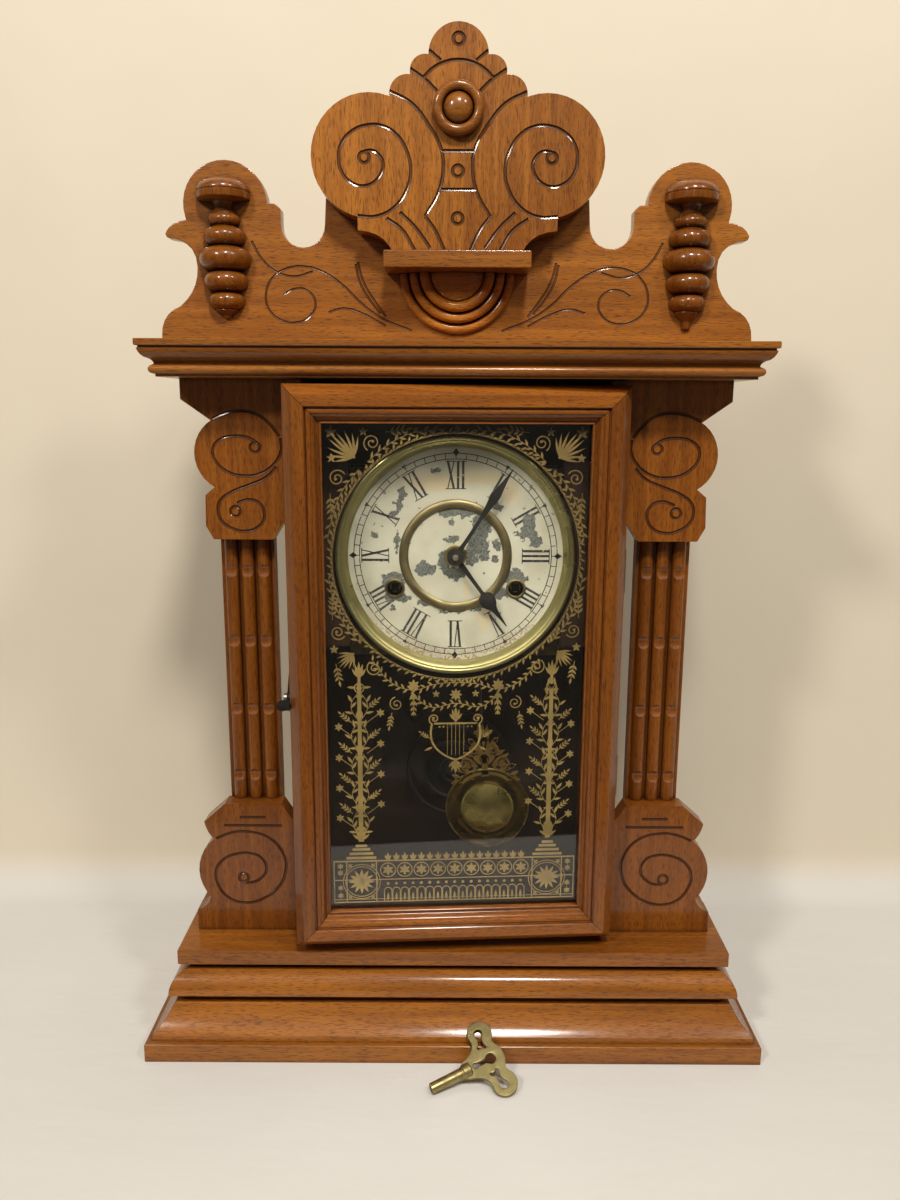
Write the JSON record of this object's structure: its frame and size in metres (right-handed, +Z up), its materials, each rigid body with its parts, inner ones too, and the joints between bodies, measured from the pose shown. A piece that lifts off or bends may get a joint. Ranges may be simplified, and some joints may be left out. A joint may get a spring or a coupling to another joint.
{
  "type": "carved shelf clock with glazed door",
  "caption": "Victorian-style walnut shelf clock with carved crest, reeded side columns, gilt-stencilled glass door, pendulum, strike gong and a loose winding key.",
  "frame": {"origin": "centre of the footprint of the clock's base, on the table; the loose key lies in front and is not counted", "axes": "+Z up, -Y to the front of the clock, +X to the viewer's right"},
  "size_m": [0.354, 0.1504, 0.5582],
  "materials": {
    "walnut": "varnished",
    "inside_wood": "dark stained",
    "brass": "polished, aged",
    "aged_brass": "tarnished",
    "black_steel": "blacked",
    "steel": "dull",
    "blue_steel": "blued",
    "cast_iron": "dark",
    "dial_paint": "old cream paint",
    "glass": "clear with gilt stencil"
  },
  "bodies": {
    "case": {"base_moulding_front": "walnut", "base_moulding_left": "walnut", "base_moulding_right": "walnut", "base_back_rail": "inside_wood", "shelf_board": "walnut", "case_side_left": "walnut", "case_side_right": "walnut", "back_board": "inside_wood", "cornice_moulding_front": "walnut", "cornice_moulding_left": "walnut", "cornice_moulding_right": "walnut", "top_board": "inside_wood", "upper_bracket_left": "walnut", "upper_bracket_right": "walnut", "lower_bracket_left": "walnut", "lower_bracket_right": "walnut", "column_left": "walnut", "column_right": "walnut", "crest_board": "walnut", "crest_plate": "walnut", "crest_ledge": "walnut", "crest_boss": "walnut", "crest_rosette": "walnut", "finial_left": "walnut", "finial_right": "walnut", "hinge_case_leaf_lower": "aged_brass", "hinge_case_leaf_upper": "aged_brass", "catch_stud": "steel", "dial_plate": "dial_paint", "dial_bezel": "brass", "dial_centre_ring": "aged_brass", "winding_grommet_left": "brass", "winding_grommet_right": "brass", "dial_cleat_left": "inside_wood", "dial_cleat_right": "inside_wood", "movement_plate_front": "brass", "movement_plate_back": "brass", "strike_mainspring": "blue_steel", "time_mainspring": "blue_steel", "gong": "cast_iron"},
    "door": {"door_stile_left": "walnut", "door_stile_right": "walnut", "door_rail_top": "walnut", "door_rail_bottom": "walnut", "door_glass": "glass", "hinge_door_leaf_lower": "aged_brass", "hinge_door_leaf_upper": "aged_brass", "hook_screw": "steel"},
    "hook": {"door_hook": "black_steel"},
    "minute": {"minute_hand": "black_steel", "centre_wheel": "brass"},
    "hour": {"hour_hand": "black_steel"},
    "strike_barrel": {"strike_main_wheel": "brass"},
    "time_barrel": {"time_main_wheel": "brass"},
    "escape": {"escape_wheel": "brass"},
    "crutch": {"verge": "steel"},
    "pendulum": {"pendulum_rod": "steel", "pendulum_bob": "brass"},
    "hammer_arm": {"hammer": "steel"},
    "key": {"winding_key": "aged_brass"}
  },
  "joints": [
    {"name": "door_hinge", "type": "hinge", "parent": "case", "child": "door", "pos_m": [0.0926, -0.0241, 0], "axis": [0, 0, 1], "range_deg": [-3.6, 96.4]},
    {"name": "hook_pivot", "type": "hinge", "parent": "door", "child": "hook", "pos_m": [-0.09121, -0.04248, 0.213], "axis": [0.998, 0.0628, 0], "range_deg": [-35, 15]},
    {"name": "minute_arbor", "type": "hinge", "parent": "case", "child": "minute", "pos_m": [0, 0, 0.288], "axis": [0, 1, 0], "continuous": true},
    {"name": "hour_pipe", "type": "hinge", "parent": "case", "child": "hour", "pos_m": [0, -0.0186, 0.288], "axis": [0, 1, 0], "continuous": true},
    {"name": "strike_winding", "type": "hinge", "parent": "case", "child": "strike_barrel", "pos_m": [-0.0343, 0, 0.2693], "axis": [0, 1, 0], "continuous": true},
    {"name": "time_winding", "type": "hinge", "parent": "case", "child": "time_barrel", "pos_m": [0.0343, 0, 0.2693], "axis": [0, 1, 0], "continuous": true},
    {"name": "escape_arbor", "type": "hinge", "parent": "case", "child": "escape", "pos_m": [-0.009, 0, 0.312], "axis": [0, 1, 0], "continuous": true},
    {"name": "pendulum_swing", "type": "hinge", "parent": "case", "child": "pendulum", "pos_m": [0.0075, -0.005, 0.322], "axis": [0, 1, 0], "range_deg": [0, 7.6]},
    {"name": "crutch_swing", "type": "hinge", "parent": "case", "child": "crutch", "pos_m": [0.0075, 0, 0.312], "axis": [0, 1, 0], "range_deg": [0, 9.9]},
    {"name": "hammer_swing", "type": "hinge", "parent": "case", "child": "hammer_arm", "pos_m": [-0.014, 0.044, 0.243], "axis": [0, 1, 0], "range_deg": [0, 18]},
    {"name": "key_lift", "type": "slide", "parent": "case", "child": "key", "axis": [0, 0, 1], "range_m": [0, 0.04]}
  ],
  "couplings": [
    {"joint": "hour_pipe", "follows": "minute_arbor", "ratio": 0.083333},
    {"joint": "crutch_swing", "follows": "pendulum_swing", "ratio": 1.2941}
  ]
}
